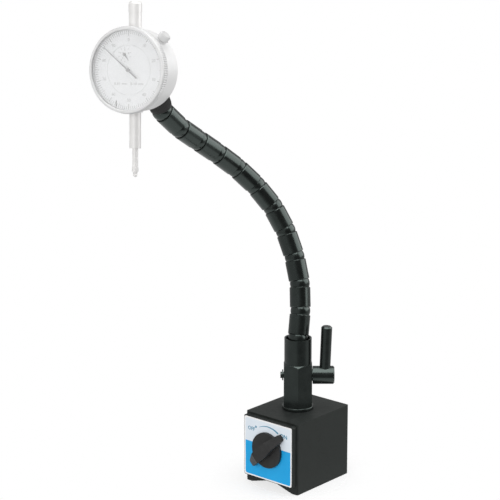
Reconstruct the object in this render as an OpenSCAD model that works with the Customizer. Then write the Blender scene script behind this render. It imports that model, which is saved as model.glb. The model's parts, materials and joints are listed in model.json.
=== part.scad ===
// Dial indicator on a switchable magnetic base, with a flexible arm that a cam lever locks.
// Millimetres, +Z up. The origin is under the middle of the base, on the plane of its feet.
// Facing the switch, +X is to the right and -Y is towards the viewer.

/* [Magnet block] */
// Width of the block, across the V groove
base_w = 50; // [46:1:60]
// Depth of the block, front to back
base_d = 60; // [50:1:80]
// Height of the block
base_h = 55; // [52:1:70]
// Rounding of the block's upright edges
base_round = 1.2; // [0.6:0.2:3]
// Width of the V groove at the feet
groove_w = 39; // [30:1:40]
// Depth of the V groove at its middle
groove_h = 5.5; // [4.6:0.1:7]
// Width of the non-magnetic strip between the poles
spacer_w = 4; // [3:0.5:6]
// Diameter of the magnet rotor
rotor_d = 30; // [24:1:31]
// Height of the rotor's axis above the feet
rotor_z = 31; // [28:0.2:31.2]
// Diameter of the rotor's spindle
spindle_d = 8; // [6:0.5:10]

/* [Switch plates] */
// Margin between the front plate and the block's sides
plate_margin = 1.4; // [1:0.2:3]
// Margin between the rear plate and the block's sides
rear_margin = 4; // [2:0.5:6]
// Height of the plates' bottom edge above the feet
plate_foot = 6.2; // [5:0.2:9]
// Drop of the plates' top edge below the block's top
plate_drop = 1.4; // [1:0.1:4]
// Thickness of the front plate
plate_t = 4; // [3:0.25:5]
// Thickness of the rear plate
rear_t = 2.5; // [2:0.25:4]
// Rounding of the plates' and the label's corners
plate_round = 1.2; // [0.6:0.2:3]
// Thickness of the printed label
label_t = 0.5; // [0.5:0.25:1.5]
// Margin of the front plate around the label
label_margin = 0.7; // [0.3:0.1:2]
// Distance of the plate screws from the plates' edges
screw_inset = 4.6; // [4:0.2:6]
// Shank diameter of the plate screws
screw_d = 3; // [2:0.5:4]
// Length of the plate screws
screw_l = 12; // [8:1:16]

/* [Knob] */
// Diameter of the knob's disc
knob_d = 27.2; // [22:0.4:32]
// Thickness of the knob's disc
knob_t = 2; // [1.5:0.25:5]
// Length of the grip bar, from tip to tip
grip_l = 39.6; // [34:0.4:42]
// Length of the grip bar's flat top
grip_top = 16; // [12:1:20]
// Width of the grip bar at its middle
grip_w = 10; // [9:0.5:13]
// Width of the grip bar at its tips
grip_end_w = 5.6; // [5:0.2:8]
// Rounding of the grip bar's tips
grip_round = 1.8; // [0.6:0.2:2.4]
// Height of the grip bar above the disc
grip_h = 6.5; // [5:0.5:10]
// Angle of the grip bar when the magnet is on
grip_turn = 44; // [0:1:90]

/* [Post] */
// Diameter of the stud's flange under the post
flange_d = 23.6; // [21:0.2:28]
// Thickness of the flange
flange_t = 2.5; // [1.5:0.25:4]
// Thread diameter of the stud in the block
stud_d = 10; // [8:1:12]
// Width of the hexagon across its flats
hex_af = 21; // [20.6:0.2:24]
// Height of the hexagon
hex_h = 33; // [30:1:40]
// Wall of the round sleeve above the hexagon, at its mouth
sleeve_wall = 1.25; // [1:0.05:1.4]
// Height of the sleeve
sleeve_h = 19.5; // [19:0.5:26]
// Depth of the lowest ball's centre below the sleeve's mouth
ball_sink = 0.5; // [0:0.25:1]
// Bore of the post
post_bore = 12; // [11:0.5:13]
// Turn of the post on the base
post_turn = 41; // [0:1:90]

/* [Cam lever] */
// Height of the cam shaft above the hexagon's foot
cam_rise = 23.3; // [20:0.1:24]
// Diameter of the shaft's boss
boss_d = 13.6; // [11:0.2:15]
// Reach of the boss from the post's axis
boss_reach = 27.2; // [24.6:0.1:32]
// Diameter of the shaft's journal on the boss side
journal_d = 9; // [9:0.25:10]
// Diameter of the eccentric
eccentric_d = 7; // [7:0.25:7.5]
// Offset of the eccentric from the shaft's axis
cam_throw = 1; // [0.6:0.1:1]
// Swing of the lever from locked to loose
cam_swing = 70; // [50:5:80]
// Diameter of the shaft's end journal
tail_d = 4.8; // [4:0.2:5]
// Diameter of the lever rod
lever_d = 8.2; // [6:0.2:8.4]
// Distance of the lever rod from the post's axis
lever_reach = 20; // [18:0.5:21]
// Height of the lever's end above the shaft's axis
lever_h = 38; // [30:1:50]
// Lean of the lever rod away from the post
lever_lean = 2; // [0:0.5:4]

/* [Arm] */
// Outer diameter of the arm's tubes
tube_d = 15.5; // [14:0.1:15.6]
// Length of a tube between its rims
tube_l = 15; // [14:0.5:20]
// Gap between two tubes' rims, where the ball shows
joint_gap = 5.4; // [5:0.1:6]
// Diameter of the balls
ball_d = 14.8; // [13.4:0.1:14.9]
// Bore of the tubes
tube_bore = 6; // [5:0.5:7]
// Diameter of the tension cable
cable_d = 3; // [2:0.25:3.5]
// Swing that each ball allows about each of its two axes
ball_swing = 25; // [24:0.5:25]
// Bend of each joint towards the viewer, from the post to the head
fore_bend = [-16, -1, 2, 2, 4, 6, 10, 11, 8, 4, -5, 1]; // [-24:1:24]
// Bend of each joint to the right, from the post to the head
side_bend = [5, -6, -10, -8, -9, -11, -7, -5, -1, 1, 7, 22]; // [-24:1:24]

/* [Arm head] */
// Diameter of the knurled head
head_d = 16; // [15:0.5:16.5]
// Height of the head's body above the last ball's centre
head_h = 20; // [18:0.5:21]
// Distance of the lug screw from the last ball's centre
head_reach = 33; // [32:0.5:38]
// Thickness of each of the fork's ears
ear_t = 4; // [3:0.5:4.5]
// Radius of the fork's ears round the lug screw
ear_r = 6.5; // [5.5:0.25:6.75]
// Turn of the fork about the head's axis
fork_turn = -47; // [-90:1:0]
// Tilt of the indicator on the lug screw
dial_tilt = -36.5; // [-60:0.5:-20]
// Diameter of the lug screw
lug_screw_d = 6; // [5:0.25:6.5]

/* [Indicator case] */
// Diameter of the case
case_d = 56; // [50:0.5:63]
// Step of the bezel beyond the case
bezel_step = 2; // [1.4:0.1:2.2]
// Width of the bezel's rim round the window
window_rim = 2.6; // [2.5:0.1:4.5]
// Depth of the bezel, front to back
bezel_t = 6; // [5.8:0.1:7.4]
// Distance of the stem's axis behind the bezel's front
stem_setback = 12.9; // [12.6:0.1:14]
// Depth of the case behind the stem's axis
case_back = 8.6; // [8:0.1:9]
// Thickness of the back cover
cover_t = 2; // [1.5:0.1:2]
// Distance of the lug's hole behind the stem's axis
lug_reach = 18; // [17.8:0.1:20]
// Drop of the lug's hole below the dial's centre
lug_drop = 2; // [0:0.5:4]
// Thickness of the lug
lug_t = 5; // [4:0.25:6]
// Radius of the lug's end
lug_r = 5.5; // [4.75:0.25:5.75]
// Diameter of the bezel clamp's head
clamp_d = 8; // [6:0.25:8]
// Length of the bezel clamp's head
clamp_l = 5; // [4:0.5:8]
// Place of the bezel clamp round the case, from the right
clamp_turn = 45; // [30:1:60]

/* [Indicator movement] */
// Diameter of the stem
stem_d = 8; // [7:0.25:8]
// Length of the stem below the case
stem_l = 24.7; // [20:0.1:32]
// Diameter of the plunger
plunger_d = 4; // [3.6:0.1:4.4]
// Reach of the plunger below the stem
plunger_out = 13.3; // [12:0.1:20]
// Travel of the plunger, one turn of the counter hand
plunger_travel = 10; // [8:0.5:10]
// Length of the contact point below the plunger
point_l = 6.6; // [6:0.2:12]
// Diameter of the dust cap
cap_d = 8.8; // [8:0.1:9.2]
// Height of the dust cap
cap_l = 18; // [17:0.5:22]
// Diameter of the dial's fixed middle
centre_d = 34; // [32:0.5:40]
// Gap between the counter's wheel and the case's bore
wheel_gap = 3; // [1.2:0.1:4]
// Gap between the main hand's tip and the window's edge
hand_gap = 2.9; // [1:0.1:6]
// Length of the main hand's tail
hand_tail = 9; // [6:0.5:10]
// Angle of the main hand, from the right
hand_turn = 141; // [0:1:360]
// Length of the counter hand
counter_l = 4.4; // [3:0.2:5]
// Angle of the counter hand, from the right
counter_turn = -48; // [-180:1:180]

/* [Hidden] */
$fn = 64;
// Clearances
press = 0.02;
run = 0.05;
slide = 0.1;
seat_gap = 0.06;
part_gap = 0.3;
over = 1;
half_turn = 180;

// Magnet block
plate_w = base_w - 2 * plate_margin;
rear_w = base_w - 2 * rear_margin;
plate_h = base_h - plate_foot - plate_drop;
plate_z = plate_foot + plate_h / 2;
rotor_bore = rotor_d + 2 * part_gap;
rotor_end_gap = 0.5;
roof_h = base_h - rotor_z - rotor_bore / 2;
stud_floor = 1.5;
stud_in = roof_h - stud_floor;
front_y = -base_d / 2;
label_y = front_y - plate_t;
knob_y = label_y - label_t - part_gap;
knob_wall = 2.5;
screw_head_d = 1.93 * screw_d;
screw_head_h = (screw_head_d - screw_d) / 2;
round_steps = 6;

// Post and cam
hex_z = base_h + flange_t;
sleeve_z = hex_z + hex_h;
mouth_z = sleeve_z + sleeve_h;
hex_chamfer = 1;
hex_drop = 1.3;
cam_z = hex_z + cam_rise;
spigot_h = 8;
puller_d = post_bore - 2 * slide;
puller_down = 10;
puller_up = 16;
puller_low = cam_z - puller_down;
puller_top = cam_z + puller_up;
puller_room = 2;
cam_phase = -cam_swing / 2;
eccentric_y = cam_throw * cos(cam_phase);
eccentric_z = cam_throw * sin(cam_phase);
boss_gap = 0.5;
boss_chamfer = 0.8;
eccentric_end = sqrt(pow(post_bore / 2, 2) - pow(eccentric_d / 2 + cam_throw, 2)) - part_gap;
clip_gap = 0.4;
clip_t = 0.9;
clip_rim = 1.7;
clip_groove = 0.5;
clip_d = tail_d + 2 * clip_rim;
tail_end = 1.3;
tail_reach = hex_af / 2 + clip_gap + clip_t + tail_end;
lever_floor = 2;
lever_seat = boss_d / 2 - lever_floor;
cable_socket = 10;

// Arm
ball_count = len(fore_bend);
tube_count = ball_count - 1;
pitch = tube_l + joint_gap;
rim = joint_gap / 2;
rim_chamfer = 0.4;
seat_r = ball_d / 2 + seat_gap;
rim_land = 0.3;
rim_depth = 1.6;
throat_gap = 0.4;
throat_r = cable_d / 2 + throat_gap;
ball_z = mouth_z - ball_sink;
mouth_gap = 1.2;
mouth_d = tube_d + 2 * mouth_gap;
sleeve_d = mouth_d + 2 * sleeve_wall;
sleeve_step = 0.2;
mouth_floor = ball_z - rim;
cable_sides = 8;

// Head
slot_w = lug_t + 2 * slide;
fork_w = slot_w + 2 * ear_t;
stop_d = 5;
stop_z = 11;
stop_l = 7.4;
cable_end = stop_z + stop_l - over;
screw_head_r = 6;
screw_knob_l = 8;

// Indicator, main diameters
bezel_d = case_d + 2 * bezel_step;
window_d = bezel_d - 2 * window_rim;

// Indicator, along the dial's depth
bezel_y = -stem_setback;
bezel_back = bezel_y + bezel_t;
lip_t = 0.7;
crystal_t = 1;
ring_t = 0.5;
skirt_l = 1.4;
crystal_y = bezel_y + lip_t;
ring_y = bezel_back - skirt_l - ring_t;
hand_room = ring_y - crystal_y - crystal_t;
layer_gap = 0.2;
case_y = bezel_back + layer_gap;
lip_y = ring_y + ring_t + layer_gap;
wheel_t = 0.8;
ledge_y = bezel_back;
ledge_t = ledge_y - lip_y - layer_gap;
wheel_y = ledge_y + layer_gap;
hand_t = 0.3;
arbor_end = 0.05;
hand_cap = 0.15;
counter_y = ring_y - 0.3 * hand_room;
main_y = ring_y - 0.7 * hand_room;

// Indicator, across the dial
spigot_step = 0.5;
spigot_r = case_d / 2 - spigot_step;
skirt_r = spigot_r + seat_gap;
crystal_edge = 0.75;
crystal_r = window_d / 2 + crystal_edge;
lip_wall = 1.6;
lip_r = spigot_r - lip_wall;
case_wall = 4;
case_bore_r = case_d / 2 - case_wall;
pinion_r = plunger_travel / (2 * PI);
pinion_t = 3.2;
rack_cut = 0.5;
rack_end = 1;
rack_flat = plunger_d / 2 - rack_cut;
mesh_gap = 0.1;
counter_x = -(rack_flat + pinion_r + mesh_gap);
wheel_ratio = 10;
arbor_gap = (case_bore_r - wheel_gap) * (wheel_ratio + 1) / (2 * wheel_ratio + 1);
counter_rise = sqrt(pow(arbor_gap, 2) - pow(counter_x, 2));
wheel_r = arbor_gap * wheel_ratio / (wheel_ratio + 1) - mesh_gap / 2;
centre_pinion_r = arbor_gap / (wheel_ratio + 1) - mesh_gap / 2;
centre_arbor_r = 0.7;
counter_arbor_r = 0.6;
boss_step = 1;
cap_foot = case_d / 2 + boss_step;
cap_top = cap_foot + cap_l;
cap_wall = 1.4;
cap_bore_r = cap_d / 2 - cap_wall;
cap_round = 2.2;
cap_rim = 0.25;
cap_rim_h = 7.5;
neck_h = 2.5;
plunger_head = 2;
plunger_top = cap_foot + plunger_head;
stem_boss_wall = 1.2;
stem_boss_r = stem_d / 2 + stem_boss_wall;
stem_boss_z = case_d / 2 + boss_step;
stem_drop = stem_boss_z + stem_l;
stem_spigot_r = stem_d / 2 - 0.6;
stem_spigot_l = 4.5;
plunger_end = stem_drop + plunger_out;
point_stud_r = 1.2;
point_stud_l = 5;
point_collar = 2.8;
point_ball_r = 1.5;
pin_z = -10;
pin_r = 0.8;
spring_x = 8;
spring_r = 1.6;
spring_wire = 0.5;
spring_turns = 9;
spring_sides = 6;
spring_steps = 10;
spring_top = pin_z - pin_r - part_gap;
spring_low = -sqrt(pow(case_bore_r, 2) - pow(spring_x + spring_r + spring_wire, 2)) + part_gap;
hand_l = window_d / 2 - hand_gap;
cover_back = case_back + cover_t;
cover_edge = 0.4;
cover_r = case_d / 2 - cover_edge;
cover_spigot_l = 1.4;
cover_boss_r = 2;
cover_boss_l = 3;
cover_screw_r = 0.9;
cover_screw_l = 3.6;
cover_hole_l = 4;
cover_head_r = 1.7;
cover_head_t = 0.9;
cover_circle = case_d / 2 - case_wall / 2;
clamp_rise = 1.6;
clamp_foot = case_d / 2 + clamp_rise;
clamp_shank_r = 1.5;
clamp_shank_gap = 1.5;
clamp_boss_step = 0.4;

tube_names = [for (k = [1:tube_count]) str("tube_", k < 10 ? "0" : "", k)];
ball_names = [for (k = [0:ball_count - 1]) str("ball_", k < 10 ? "0" : "", k)];

// Colours, as the object shows them
paint = [0.13, 0.14, 0.14];
oxide = [0.22, 0.24, 0.24];
pale = [0.9, 0.91, 0.92];
brass = [0.72, 0.58, 0.3];
steel = [0.7, 0.71, 0.73];

// Rigid frames along the arm
function shift(v) = [[1, 0, 0, v.x], [0, 1, 0, v.y], [0, 0, 1, v.z], [0, 0, 0, 1]];
function turn_x(a) = [[1, 0, 0, 0], [0, cos(a), -sin(a), 0], [0, sin(a), cos(a), 0], [0, 0, 0, 1]];
function turn_y(a) = [[cos(a), 0, sin(a), 0], [0, 1, 0, 0], [-sin(a), 0, cos(a), 0], [0, 0, 0, 1]];
function turn_z(a) = [[cos(a), -sin(a), 0, 0], [sin(a), cos(a), 0, 0], [0, 0, 1, 0], [0, 0, 0, 1]];
function place(frame, v) = [for (i = [0:2]) (frame * concat(v, 1))[i]];

// Frame at ball k in line with the piece below it, then with the ball, then with the piece above it
function below(k) = k == 0
    ? shift([0, 0, ball_z]) * turn_z(post_turn)
    : above(k - 1) * shift([0, 0, pitch]);
function at_ball(k) = below(k) * turn_x(fore_bend[k]);
function above(k) = at_ball(k) * turn_y(side_bend[k]);
head_frame = above(ball_count - 1);
fork_frame = head_frame * shift([0, 0, head_reach]) * turn_z(fork_turn);
dial_frame = fork_frame * turn_x(dial_tilt) * shift([0, -lug_reach, lug_drop]);

// Outline of a rectangle with round corners
function rounded(w, d, r) = [
    for (q = [0:3], s = [0:round_steps])
        let (a = 90 * q + 90 * s / round_steps, right = (q == 0 || q == 3) ? 1 : -1, back = q < 2 ? 1 : -1)
            [right * (w / 2 - r) + r * cos(a), back * (d / 2 - r) + r * sin(a)]
];

// Cylinder along the dial's depth, at x and z on the dial
module along_depth(x, z, r, from, to) {
    translate([x, 0, z]) rotate([-90, 0, 0]) translate([0, 0, from]) cylinder(r = r, h = to - from);
}

// Solid of revolution about the dial's middle, from points of radius and depth
module dial_ring(points) {
    rotate([-90, 0, 0]) rotate_extrude($fn = 128) polygon(points);
}

// Magnet block, before it is cut into poles and spacer
module block() {
    difference() {
        linear_extrude(base_h) polygon(rounded(base_w, base_d, base_round));
        rotate([90, 0, 0])
            linear_extrude(base_d + 2 * over, center = true)
                polygon([[-groove_w / 2, 0], [-groove_w / 2, -over], [groove_w / 2, -over],
                    [groove_w / 2, 0], [0, groove_h]]);
        translate([0, 0, rotor_z])
            rotate([90, 0, 0]) cylinder(d = rotor_bore, h = base_d + 2 * over, center = true);
        translate([0, 0, base_h - stud_in]) cylinder(d = stud_d + 2 * press, h = stud_in + over);
        both_plates() translate([0, 0, -screw_l - over])
            cylinder(d = screw_d + 2 * press, h = screw_l + over);
    }
}

// Slice of the block between two distances along X
module block_slice(from, to) {
    intersection() {
        block();
        translate([from, -base_d, -over]) cube([to - from, 2 * base_d, base_h + 2 * over]);
    }
}

// Children at the four screws of each plate, with +Z out of the plate's face
module both_plates() {
    for (side = [0, 1], x = [-1, 1], z = [-1, 1])
        let (w = side == 0 ? plate_w : rear_w, t = side == 0 ? plate_t : rear_t)
            rotate([0, 0, half_turn * side])
                translate([x * (w / 2 - screw_inset), front_y - t, plate_z])
                    translate([0, 0, z * (plate_h / 2 - screw_inset)]) rotate([90, 0, 0]) children();
}

// Plate screw with a countersunk head, its top at the origin
module plate_screw() {
    translate([0, 0, -screw_l]) cylinder(d = screw_d, h = screw_l);
    translate([0, 0, -screw_head_h]) cylinder(d1 = screw_d, d2 = screw_head_d, h = screw_head_h);
}

// Upright plate facing the front, with a hole for the spindle
module upright_plate(w, h, t, hole_d) {
    rotate([90, 0, 0])
        linear_extrude(t)
            difference() {
                translate([0, plate_z]) polygon(rounded(w, h, plate_round));
                translate([0, rotor_z]) circle(d = hole_d);
            }
}

// Bearing plate for the spindle, with countersunk screw holes, on the front (side 0) or the rear (side 1)
module bearing_plate(side, w, t) {
    difference() {
        rotate([0, 0, half_turn * side])
            translate([0, front_y, 0]) upright_plate(w, plate_h, t, spindle_d + 2 * run);
        both_plates() {
            translate([0, 0, -t - over]) cylinder(d = screw_d + 2 * press, h = t + over);
            translate([0, 0, -screw_head_h]) cylinder(d1 = screw_d + 2 * press,
                d2 = screw_head_d + 2 * press, h = screw_head_h);
        }
    }
}

module left_pole() {
    color(paint) block_slice(-base_w, -spacer_w / 2);
}

module right_pole() {
    color(paint) block_slice(spacer_w / 2, base_w);
}

module pole_spacer() {
    color(brass) block_slice(-spacer_w / 2, spacer_w / 2);
}

module front_plate() {
    color(paint) bearing_plate(0, plate_w, plate_t);
}

module rear_plate() {
    color(paint) bearing_plate(1, rear_w, rear_t);
}

module label_plate() {
    color([0.16, 0.64, 0.91])
        translate([0, label_y, 0])
            upright_plate(plate_w - 2 * label_margin, plate_h - 2 * label_margin, label_t, spindle_d + 2);
}

module plate_screws() {
    color(steel) both_plates() plate_screw();
}

module magnet_rotor() {
    length = base_d - 2 * rotor_end_gap;
    color([0.3, 0.3, 0.32])
        translate([0, 0, rotor_z])
            rotate([90, 0, 0])
                difference() {
                    cylinder(d = rotor_d, h = length, center = true);
                    cylinder(d = spindle_d + 2 * press, h = length + over, center = true);
                }
}

module rotor_spindle() {
    front = -knob_y + knob_t + grip_h - knob_wall;
    color(steel)
        translate([0, -front, rotor_z])
            rotate([-90, 0, 0]) cylinder(d = spindle_d, h = front + base_d / 2 + rear_t);
}

// Outline of the grip bar along X, widest at its middle, with rounded corners at its tips
function grip_outline() = [
    for (side = [-1, 1])
        each concat([[0, side * grip_w / 2]], [
            for (q = [-1, 1], s = [0:round_steps])
                let (a = 90 * (s / round_steps + (q - 1) / 2), r = grip_round)
                    -side * [grip_l / 2 - r + r * cos(a), q * (grip_end_w / 2 - r) + r * sin(a)]])
];

// Grip bar along X, which slopes down to a thin tip at each end
module grip_bar() {
    tip = grip_l / 2;
    top = knob_t + grip_h;
    intersection() {
        linear_extrude(top) polygon(grip_outline());
        rotate([90, 0, 0])
            linear_extrude(2 * grip_w, center = true)
                polygon([[-tip, 0], [tip, 0], [tip, knob_t], [grip_top / 2, top], [-grip_top / 2, top],
                    [-tip, knob_t]]);
    }
}

module switch_knob() {
    color([0.1, 0.1, 0.1])
        translate([0, knob_y, rotor_z])
            rotate([90, 0, 0])
                difference() {
                    union() {
                        cylinder(d = knob_d, h = knob_t);
                        rotate([0, 0, grip_turn]) grip_bar();
                    }
                    translate([0, 0, -over])
                        cylinder(d = spindle_d + 2 * press, h = knob_t + grip_h - knob_wall + press + over);
                }
}

module post_stud() {
    color(oxide) {
        translate([0, 0, base_h - stud_in]) cylinder(d = stud_d, h = stud_in + over);
        translate([0, 0, base_h]) cylinder(d = flange_d, h = flange_t);
        translate([0, 0, hex_z - over]) cylinder(d = post_bore - 2 * press, h = spigot_h + over);
    }
}

module hex_post() {
    corner_r = hex_af / sqrt(3);
    color(oxide)
        difference() {
            union() {
                translate([0, 0, hex_z])
                    rotate([0, 0, post_turn])
                        intersection() {
                            rotate([0, 0, 30]) cylinder(r = corner_r, h = hex_h, $fn = 6);
                            union() {
                                cylinder(r1 = corner_r - hex_chamfer, r2 = corner_r, h = hex_chamfer);
                                translate([0, 0, hex_chamfer])
                                    cylinder(r = corner_r, h = hex_h - hex_chamfer - hex_drop);
                                translate([0, 0, hex_h - hex_drop])
                                    cylinder(r1 = corner_r, r2 = sleeve_d / 2 + sleeve_step, h = hex_drop);
                            }
                        }
                translate([0, 0, sleeve_z - over]) cylinder(d = sleeve_d, h = sleeve_h + over);
            }
            translate([0, 0, hex_z - over])
                cylinder(d = post_bore, h = puller_top + puller_room - hex_z + over);
            translate([0, 0, puller_top]) cylinder(d = tube_bore, h = ball_z - puller_top);
            translate([0, 0, ball_z]) sphere(r = seat_r);
            translate([0, 0, mouth_floor]) cylinder(d = mouth_d, h = mouth_z - mouth_floor + over);
            translate([0, 0, mouth_z - rim_chamfer])
                cylinder(d1 = mouth_d, d2 = mouth_d + 2 * rim_chamfer + over, h = rim_chamfer + over / 2);
            cam_axis() {
                cylinder(d = journal_d + 2 * run, h = hex_af);
                translate([0, 0, -hex_af]) cylinder(d = tail_d + 2 * run, h = hex_af);
            }
        }
}

// Frame of the cam shaft, with +Z along it, away from the post on the lever's side
module cam_axis() {
    translate([0, 0, cam_z]) rotate([0, 0, post_turn]) rotate([0, 90, 0]) children();
}

// Frame of the lever rod, with +Z along it and the shaft's axis at the origin
module lever_axis() {
    translate([0, 0, cam_z]) rotate([0, 0, post_turn]) translate([lever_reach, 0, 0])
        rotate([0, lever_lean, 0]) children();
}

module cam_shaft() {
    bearing = post_bore / 2 + run;
    boss_low = hex_af / 2 + boss_gap;
    clip_at = -(hex_af / 2 + clip_gap + clip_t);
    color(oxide)
        difference() {
            cam_axis() {
                translate([0, 0, boss_low])
                    cylinder(d = boss_d, h = boss_reach - boss_low - boss_chamfer);
                translate([0, 0, boss_reach - boss_chamfer])
                    cylinder(d1 = boss_d, d2 = boss_d - 2 * boss_chamfer, h = boss_chamfer);
                translate([0, 0, bearing]) cylinder(d = journal_d, h = boss_low - bearing + over);
                translate([-eccentric_z, eccentric_y, -eccentric_end])
                    cylinder(d = eccentric_d, h = eccentric_end + bearing);
                difference() {
                    translate([0, 0, -tail_reach])
                        cylinder(d = tail_d, h = tail_reach - eccentric_end + over);
                    translate([0, 0, clip_at])
                        difference() {
                            cylinder(d = tail_d + over, h = clip_t);
                            cylinder(d = tail_d - 2 * clip_groove, h = clip_t);
                        }
                }
            }
            lever_axis() translate([0, 0, -lever_seat]) cylinder(d = lever_d + 2 * press, h = lever_h);
        }
}

module lever_rod() {
    tip = 1;
    length = lever_h + lever_seat;
    color(oxide)
        lever_axis()
            translate([0, 0, -lever_seat]) {
                cylinder(d = lever_d, h = length - tip);
                translate([0, 0, length - tip]) cylinder(d1 = lever_d, d2 = lever_d - 2 * tip, h = tip);
            }
}

module cam_clip() {
    mouth = tail_d - 2 * clip_groove;
    color(oxide)
        cam_axis()
            translate([0, 0, -(hex_af / 2 + clip_gap + clip_t)])
                difference() {
                    cylinder(d = clip_d, h = clip_t - run);
                    translate([0, 0, -over]) cylinder(d = mouth + 2 * press, h = clip_t + 2 * over);
                    translate([0, -mouth / 2, -over]) cube([clip_d, mouth, clip_t + 2 * over]);
                }
}

module cable_puller() {
    window_h = eccentric_d + 2 * slide;
    window_w = 2 * (cam_throw + slide) + eccentric_d;
    color(steel)
        difference() {
            translate([0, 0, puller_low]) cylinder(d = puller_d, h = puller_top - puller_low);
            translate([0, 0, puller_top - cable_socket])
                cylinder(d = cable_d + 2 * run, h = cable_socket + over);
            translate([0, 0, cam_z + eccentric_z])
                rotate([0, 0, post_turn]) cube([post_bore + over, window_w, window_h], center = true);
        }
}

// Tube swept along points, with the first ring square to up
module swept(points, radius, sides, up) {
    last = len(points) - 1;
    unit = [for (i = [0:last - 1]) (points[i + 1] - points[i]) / norm(points[i + 1] - points[i])];
    run_at = [for (i = [0:last]) i == 0 ? unit[0] : i == last ? unit[last - 1] : unit[i - 1] + unit[i]];
    rings = [for (i = [0:last])
        let (w = run_at[i] / norm(run_at[i]), u = cross(up, w) / norm(cross(up, w)), v = cross(w, u))
            for (s = [0:sides - 1])
                let (a = 360 * s / sides) points[i] + radius * (cos(a) * u + sin(a) * v)];
    walls = [for (i = [0:last - 1], s = [0:sides - 1])
        let (n = (s + 1) % sides, p = i * sides, q = p + sides)
            each [[p + s, q + s, q + n], [p + s, q + n, p + n]]];
    end = last * sides;
    caps = [for (s = [1:sides - 2]) each [[0, s, s + 1], [end, end + s + 1, end + s]]];
    polyhedron(rings, concat(walls, caps));
}

module tension_cable() {
    foot = [0, 0, puller_top - cable_socket + slide];
    path = concat(
        [foot],
        [for (k = [0:ball_count - 1]) place(below(k), [0, 0, 0])],
        [place(head_frame, [0, 0, cable_end])]
    );
    color(steel) swept(path, cable_d / 2, cable_sides, [1, 0, 0]);
}

module tube(k) {
    mouth_r = tube_d / 2 - rim_chamfer - rim_land;
    color(oxide)
        multmatrix(above(k - 1))
            translate([0, 0, pitch / 2])
                difference() {
                    union() {
                        cylinder(d = tube_d, h = tube_l - 2 * rim_chamfer, center = true);
                        for (end = [0, 1])
                            rotate([half_turn * end, 0, 0])
                                translate([0, 0, tube_l / 2 - rim_chamfer])
                                    cylinder(d1 = tube_d, d2 = tube_d - 2 * rim_chamfer, h = rim_chamfer);
                    }
                    cylinder(d = tube_bore, h = pitch, center = true);
                    for (end = [-1, 1]) translate([0, 0, end * pitch / 2]) sphere(r = seat_r);
                    translate([0, 0, tube_l / 2 - rim_depth])
                        cylinder(r1 = mouth_r - rim_depth, r2 = mouth_r, h = rim_depth);
                }
}

module ball(k) {
    flare_r = throat_r + ball_d / 2 * tan(ball_swing);
    color(oxide)
        multmatrix(at_ball(k))
            difference() {
                sphere(d = ball_d);
                for (end = [0, 1])
                    rotate([half_turn * end, 0, 0]) cylinder(r1 = throat_r, r2 = flare_r, h = ball_d / 2);
            }
}

module arm_head() {
    color(oxide)
        difference() {
            union() {
                multmatrix(head_frame) {
                    translate([0, 0, rim])
                        cylinder(d1 = head_d - 2 * rim_chamfer, d2 = head_d, h = rim_chamfer);
                    translate([0, 0, rim + rim_chamfer])
                        cylinder(d = head_d, h = head_h - rim - rim_chamfer);
                }
                multmatrix(fork_frame) {
                    rotate([0, 90, 0]) cylinder(r = ear_r, h = fork_w, center = true);
                    translate([-fork_w / 2, -ear_r, head_h - over - head_reach])
                        cube([fork_w, 2 * ear_r, head_reach - head_h + over]);
                }
            }
            multmatrix(head_frame) {
                sphere(r = seat_r);
                cylinder(r = throat_r, h = head_h);
                translate([0, 0, stop_z]) cylinder(d = stop_d + 2 * press, h = head_h);
            }
            multmatrix(fork_frame) {
                translate([-slot_w / 2, -head_d, head_h - head_reach])
                    cube([slot_w, 2 * head_d, head_reach + head_d]);
                rotate([0, 90, 0]) cylinder(d = lug_screw_d + 2 * run, h = 2 * fork_w, center = true);
            }
        }
}

module cable_stop() {
    color(brass)
        multmatrix(head_frame)
            translate([0, 0, stop_z])
                difference() {
                    cylinder(d = stop_d, h = stop_l);
                    translate([0, 0, -over]) cylinder(d = cable_d + 2 * run, h = stop_l + 2 * over);
                }
}

module lug_screw() {
    flat = fork_w / 2 + part_gap;
    color(oxide)
        multmatrix(fork_frame)
            rotate([0, 90, 0]) {
                translate([0, 0, -fork_w / 2 - over])
                    cylinder(d = lug_screw_d, h = flat + fork_w / 2 + 2 * over);
                translate([0, 0, flat]) cylinder(r = screw_head_r, h = screw_knob_l);
            }
}

// Children at the bezel clamp, with +Z out of the case
module at_clamp() {
    rotate([0, 90 - clamp_turn, 0]) children();
}

// Children at each cover screw, as points on the dial
module cover_pattern() {
    for (a = [45:90:315]) rotate([0, a, 0]) translate([cover_circle, 0, 0]) rotate([-90, 0, 0]) children();
}

module dial_case() {
    color(pale)
        multmatrix(dial_frame)
            difference() {
                union() {
                    dial_ring([[case_bore_r, ledge_y], [lip_r, ledge_y], [lip_r, lip_y], [spigot_r, lip_y],
                        [spigot_r, case_y], [case_d / 2, case_y], [case_d / 2, case_back],
                        [case_bore_r, case_back]]);
                    difference() {
                        intersection() {
                            translate([0, 0, -stem_boss_z]) cylinder(r = stem_boss_r, h = stem_boss_z);
                            translate([-case_d, case_y, -case_d]) cube([2 * case_d, 2 * case_d, case_d]);
                        }
                        along_depth(0, 0, case_bore_r + over, -case_d, case_d);
                    }
                    difference() {
                        union() {
                            cylinder(d = cap_d, h = cap_foot);
                            cylinder(r = cap_bore_r - press, h = cap_foot + neck_h);
                            at_clamp()
                                cylinder(r = clamp_d / 2 - clamp_boss_step, h = clamp_foot - part_gap);
                        }
                        along_depth(0, 0, case_bore_r + over, -case_d, case_d);
                    }
                }
                cylinder(r = plunger_d / 2 + run, h = cap_top);
                translate([0, 0, -case_d]) cylinder(r = stem_spigot_r + press, h = case_d);
                at_clamp() cylinder(r = clamp_shank_r + run, h = case_d);
                cover_pattern()
                    translate([0, 0, case_back - cover_hole_l])
                        cylinder(r = cover_screw_r + press, h = case_d);
            }
}

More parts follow.
